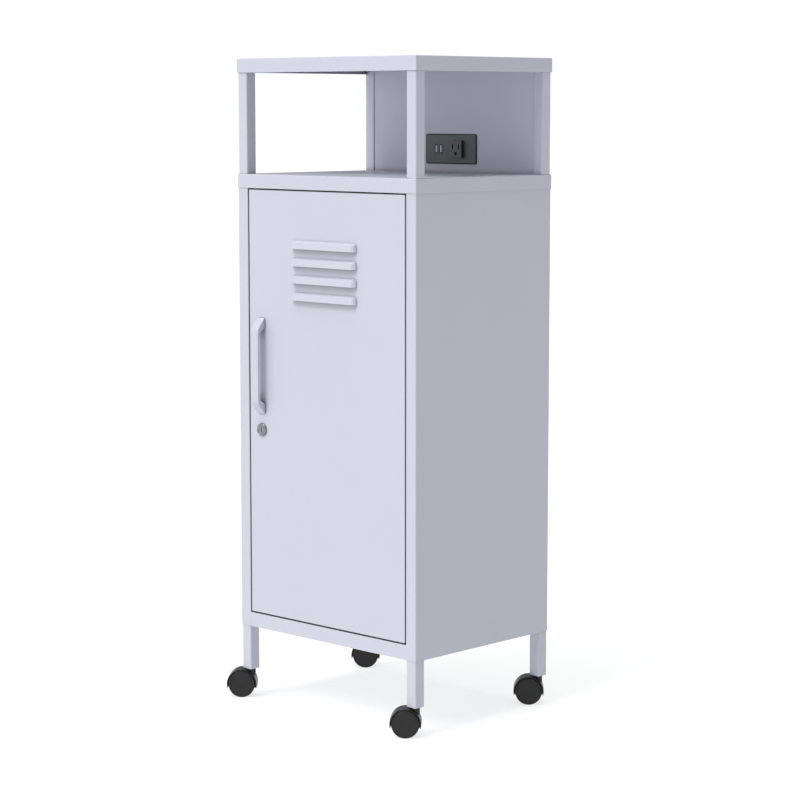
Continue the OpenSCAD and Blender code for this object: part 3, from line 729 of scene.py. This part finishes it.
def hood(corner):
    """The caster's hood: a rounded arch over both wheels, its middle web and the swivel boss."""
    matrix, trail, axle_z = caster_place(corner)
    node = corner + "_caster_hood"
    lo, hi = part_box(node)
    top = hi.z
    low = lo.z
    corners = [(HOOD_IN_R, -HOOD_HALF), (HOOD_R, -HOOD_HALF), (HOOD_R, HOOD_HALF), (HOOD_IN_R, HOOD_HALF)]
    section = fillet_path(corners, (HOOD_EDGE, HOOD_SHOULDER, HOOD_SHOULDER, HOOD_EDGE), closed=True)
    shape = Shape()
    loops = []
    for i in range(HOOD_STEPS + 1):
        ring = []
        for radius, y in section:
            start = math.asin((low + (HOOD_R - radius) * HOOD_TIP - axle_z) / radius)
            turn = start + (math.pi - 2 * start) * i / HOOD_STEPS
            ring.append((trail + radius * math.cos(turn), y, axle_z + radius * math.sin(turn)))
        loops.append(ring)
    shape.loft(loops, cap_start=True, cap_end=True)
    start = math.asin((low - axle_z) / HOOD_IN_R)
    radius = HOOD_IN_R + WEB_OVERLAP
    arch = [start + (math.pi - 2 * start) * i / HOOD_STEPS for i in range(HOOD_STEPS + 1)]
    web = [(trail + radius * math.cos(t), axle_z + radius * math.sin(t)) for t in arch]
    shape.prism(web, lambda p, y: (p[0], y, p[1]), -WEB_HALF, WEB_HALF)
    boss = [(PIN_BORE_R, top - BOSS_H), (BOSS_R, top - BOSS_H), (BOSS_R, top - BOSS_ROUND),
            (BOSS_R - BOSS_BULGE, top - BOSS_BULGE), (BOSS_R - BOSS_ROUND, top), (PIN_BORE_R, top)]
    shape.lathe(boss, lambda u, v, level: (u, v, level), count=40, closed=True)
    shape.finish(node + "_shell", "caster_nylon", corner + "_caster", (node,), matrix=matrix)


def wheel(corner, side_name, side):
    """A wheel with a closed, slightly dished outer face and rounded tread edges."""
    matrix, trail, radius = caster_place(corner)
    node = f"{corner}_caster_{side_name}_wheel"
    outer = WHEEL_IN + WHEEL_W
    bore_end = WHEEL_IN + WHEEL_BORE_DEPTH
    profile = [(AXLE_BORE_R, WHEEL_IN), (radius - WHEEL_INNER_EDGE, WHEEL_IN),
               (radius, WHEEL_IN + WHEEL_INNER_EDGE)]
    profile += [(radius - inset, outer - drop) for drop, inset in rolled_edge(WHEEL_TREAD_ROUND, 5)]
    profile += [(radius - inset * MM, outer - drop * MM) for inset, drop in WHEEL_GROOVE]
    profile += [(radius / 2, outer - WHEEL_DISH_HALFWAY), (WHEEL_MIDDLE_R, outer - WHEEL_DISH),
                (0, outer - WHEEL_DISH), (0, bore_end), (AXLE_BORE_R, bore_end)]
    shape = Shape().lathe(profile, lambda u, v, level: (trail + u, side * level, radius + v), closed=True)
    shape.finish(node + "_disc", "wheel_nylon", f"{corner}_{side_name}_wheel", (node,), matrix=matrix)


# ---------- studio ----------

def studio():
    """Floor, lights, sky and camera."""
    floor_mesh = bpy.data.meshes.new("studio_floor")
    corners = [(x * FLOOR_HALF, y * FLOOR_HALF, 0) for x, y in ((-1, -1), (1, -1), (1, 1), (-1, 1))]
    floor_mesh.from_pydata(corners, [], [(0, 1, 2, 3)])
    floor = bpy.data.objects.new("studio_floor", floor_mesh)
    bpy.context.scene.collection.objects.link(floor)
    paper = surface("studio_floor", (FLOOR_GREY, FLOOR_GREY, FLOOR_GREY), 0.7, mottle=0.006, mottle_scale=2,
                    grain=40, grain_depth=0.05, edge=0.1, edge_highlight_gain=1, specular=0.1)
    glow = paper.node_tree.nodes["Principled BSDF"]
    glow.inputs["Emission Color"].default_value = (1, 1, 1, 1)
    glow.inputs["Emission Strength"].default_value = FLOOR_GLOW
    floor.data.materials.append(paper)

    for name, strength, *degrees in LIGHTS:
        azimuth, elevation, spread = (math.radians(value) for value in degrees)
        lamp = bpy.data.lights.new(name, "SUN")
        lamp.energy = strength
        lamp.angle = spread
        lamp.color = LIGHT_COLOR
        obj = bpy.data.objects.new(name, lamp)
        toward = Vector((math.cos(azimuth) * math.cos(elevation), math.sin(azimuth) * math.cos(elevation),
                         math.sin(elevation)))
        obj.rotation_euler = toward.to_track_quat("Z", "Y").to_euler()
        bpy.context.scene.collection.objects.link(obj)

    world = bpy.data.worlds.new("studio")
    bpy.context.scene.world = world
    world.use_nodes = True
    tree = world.node_tree
    sky = tree.nodes["Background"]
    seen = add_node(tree, "ShaderNodeLightPath").outputs["Is Camera Ray"]
    tree.links.new(ranged(tree, seen, 0, 1, SKY_LIGHT, SKY_SEEN), sky.inputs["Strength"])
    sky.inputs["Color"].default_value = SKY_COLOR

    lens = bpy.data.cameras.new("photo_camera")
    lens.sensor_width = SENSOR
    lens.lens = LENS
    lens.clip_end = CLIP_END
    camera = bpy.data.objects.new("photo_camera", lens)
    camera.location = CAMERA_PLACE
    ahead = Vector((-math.sin(CAMERA_AZIMUTH) * math.cos(CAMERA_PITCH),
                    math.cos(CAMERA_AZIMUTH) * math.cos(CAMERA_PITCH),
                    -math.sin(CAMERA_PITCH)))
    camera.rotation_euler = ahead.to_track_quat("-Z", "Y").to_euler()
    bpy.context.scene.collection.objects.link(camera)
    bpy.context.scene.camera = camera
    bpy.context.scene.view_settings.view_transform = "Standard"


# ---------- the object ----------

tray("top_tray", lips=True)
tray("middle_tray", lips=False)
for corner in CORNERS:
    tube(corner + "_post")
    tube(corner + "_leg")
side_panel("left_side_panel", -1, LOCK_STILE)
side_panel("right_side_panel", 1, HINGE_STILE)
door()
handle()
lock()
faceplate()
for corner in CORNERS:
    hood(corner)
    wheel(corner, "left", 1)
    wheel(corner, "right", -1)
for node, width in SOFT_EDGES.items():
    piece = softened(node, width * MM)
    # The slots and sides of the outlet and the USB module are painted black as shade.
    if node in ("outlet_block", "usb_module"):
        paint_shade_behind(piece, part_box(node)[0].y + INSERT_SHADE_DEPTH)

for node, obj in frame["nodes"].items():
    obj.material_slots[0].material = SURFACES[slot_of(node)]

studio()
